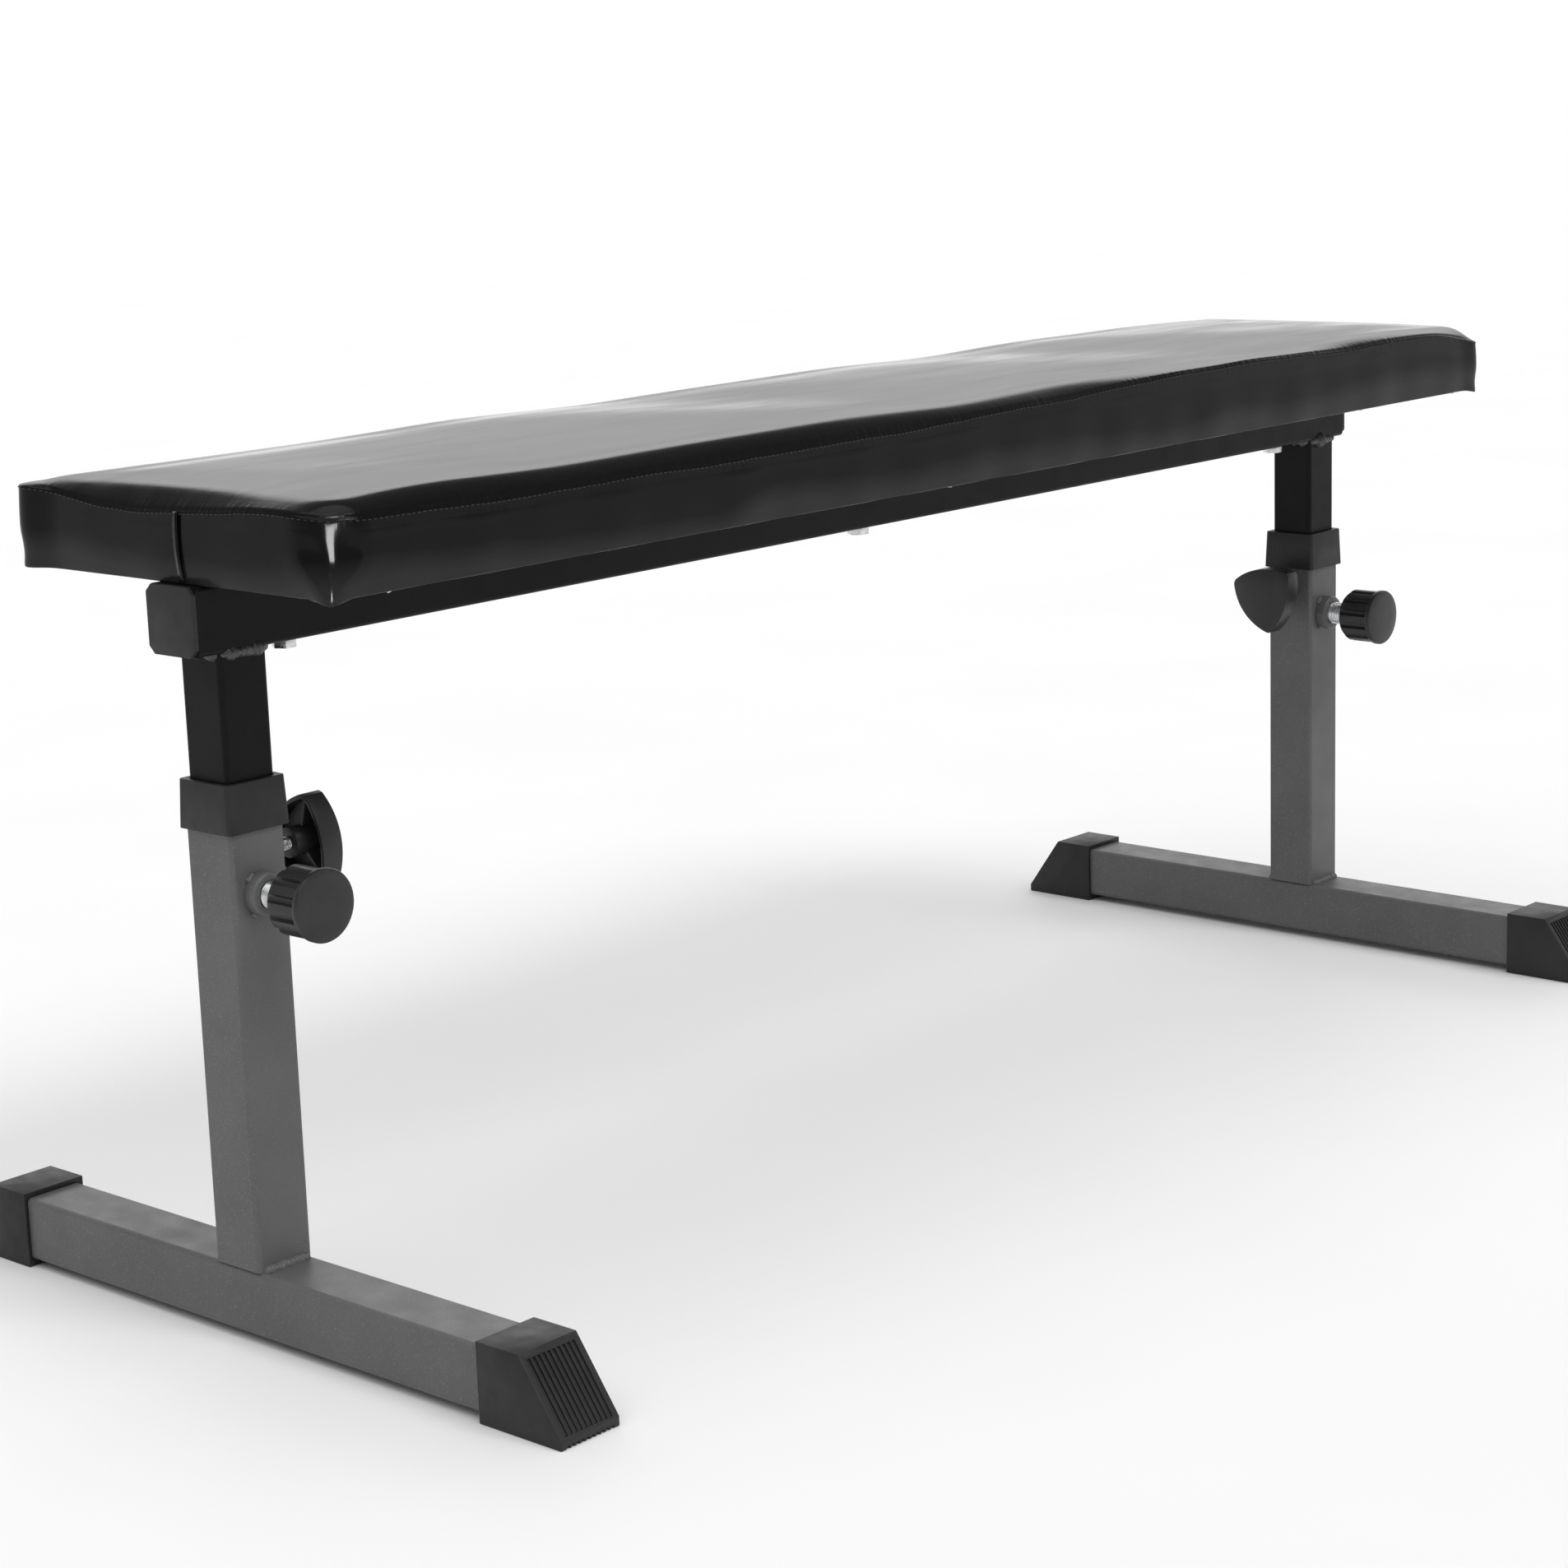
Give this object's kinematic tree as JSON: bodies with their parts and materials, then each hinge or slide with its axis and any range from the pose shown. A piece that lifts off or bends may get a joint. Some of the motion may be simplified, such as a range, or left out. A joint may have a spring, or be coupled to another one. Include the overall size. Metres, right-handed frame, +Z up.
{
  "type": "adjustable weight bench",
  "caption": "Flat weight bench: long boxed pad on a square beam, carried by telescoping T-shaped legs with pull pins and clamp knobs for height.",
  "frame": {"origin": "on the floor, under the middle of the bench's bounding box", "axes": "+X along the bench from the near leg to the far leg, +Z up, pull pins towards -Y"},
  "size_m": [1.206, 0.535, 0.506],
  "materials": {
    "grey_paint": "satin",
    "black_paint": "satin",
    "black_plastic": "matte",
    "knob_plastic": "satin",
    "zinc_steel": "satin",
    "black_vinyl": "gloss",
    "plywood": "matte",
    "foam": "matte",
    "dust_cloth": "matte"
  },
  "bodies": {
    "near_leg": {"near_foot_tube": "grey_paint", "near_foot_cap_front": "black_plastic", "near_foot_cap_rear": "black_plastic", "near_upright": "grey_paint", "near_foot_weld": "grey_paint", "near_collar": "black_plastic", "near_pin_boss": "grey_paint", "near_pin_sleeve": "zinc_steel", "near_pin_spring": "zinc_steel", "near_clamp_nut": "grey_paint"},
    "seat_frame": {"beam": "black_paint", "beam_plug_near": "black_plastic", "beam_plug_far": "black_plastic", "near_post": "black_paint", "far_post": "black_paint", "near_post_weld": "black_paint", "far_post_weld": "black_paint", "near_post_glide": "black_plastic", "far_post_glide": "black_plastic", "pad_board": "plywood", "pad_foam": "foam", "pad_cover": "black_vinyl", "pad_dust_cover": "dust_cloth", "pad_bolts": "zinc_steel", "pad_washers": "zinc_steel", "pad_tee_nuts": "zinc_steel"},
    "far_leg": {"far_foot_tube": "grey_paint", "far_foot_cap_front": "black_plastic", "far_foot_cap_rear": "black_plastic", "far_upright": "grey_paint", "far_foot_weld": "grey_paint", "far_collar": "black_plastic", "far_pin_boss": "grey_paint", "far_pin_sleeve": "zinc_steel", "far_pin_spring": "zinc_steel", "far_clamp_nut": "grey_paint"},
    "near_pull_pin": {"near_pin_shaft": "zinc_steel", "near_pin_knob": "knob_plastic"},
    "near_clamp_screw": {"near_clamp_screw": "zinc_steel"},
    "near_clamp_knob": {"near_clamp_knob": "knob_plastic"},
    "far_pull_pin": {"far_pin_shaft": "zinc_steel", "far_pin_knob": "knob_plastic"},
    "far_clamp_screw": {"far_clamp_screw": "zinc_steel"},
    "far_clamp_knob": {"far_clamp_knob": "knob_plastic"}
  },
  "joints": [
    {"name": "height_slide", "type": "slide", "parent": "near_leg", "child": "seat_frame", "axis": [0, 0, 1], "range_m": [-0.03, 0.09]},
    {"name": "far_leg_slide", "type": "slide", "parent": "seat_frame", "child": "far_leg", "axis": [0, 0, 1], "range_m": [-0.09, 0.03]},
    {"name": "near_pin_pull", "type": "slide", "parent": "near_leg", "child": "near_pull_pin", "axis": [0, -1, 0], "range_m": [0, 0.01], "stiffness_N_per_m": 600, "springref_m": -0.002, "deforming": ["near_pin_spring"]},
    {"name": "near_clamp_slide", "type": "slide", "parent": "near_leg", "child": "near_clamp_screw", "axis": [1, 0, 0], "range_m": [0, 0.0019]},
    {"name": "near_clamp_turn", "type": "hinge", "parent": "near_clamp_screw", "child": "near_clamp_knob", "pos_m": [-0.517, 0, 0.289], "axis": [1, 0, 0], "range_deg": [0, 540]},
    {"name": "far_pin_pull", "type": "slide", "parent": "far_leg", "child": "far_pull_pin", "axis": [0, -1, 0], "range_m": [0, 0.01], "stiffness_N_per_m": 600, "springref_m": -0.002, "deforming": ["far_pin_spring"]},
    {"name": "far_clamp_slide", "type": "slide", "parent": "far_leg", "child": "far_clamp_screw", "axis": [-1, 0, 0], "range_m": [0, 0.0019]},
    {"name": "far_clamp_turn", "type": "hinge", "parent": "far_clamp_screw", "child": "far_clamp_knob", "pos_m": [0.503, 0, 0.289], "axis": [-1, 0, 0], "range_deg": [0, 540]}
  ],
  "couplings": [
    {"joint": "far_leg_slide", "follows": "height_slide", "ratio": -1},
    {"joint": "near_clamp_slide", "follows": "near_clamp_turn", "m_per_rad": 0.00019894},
    {"joint": "far_clamp_slide", "follows": "far_clamp_turn", "m_per_rad": 0.00019894}
  ]
}
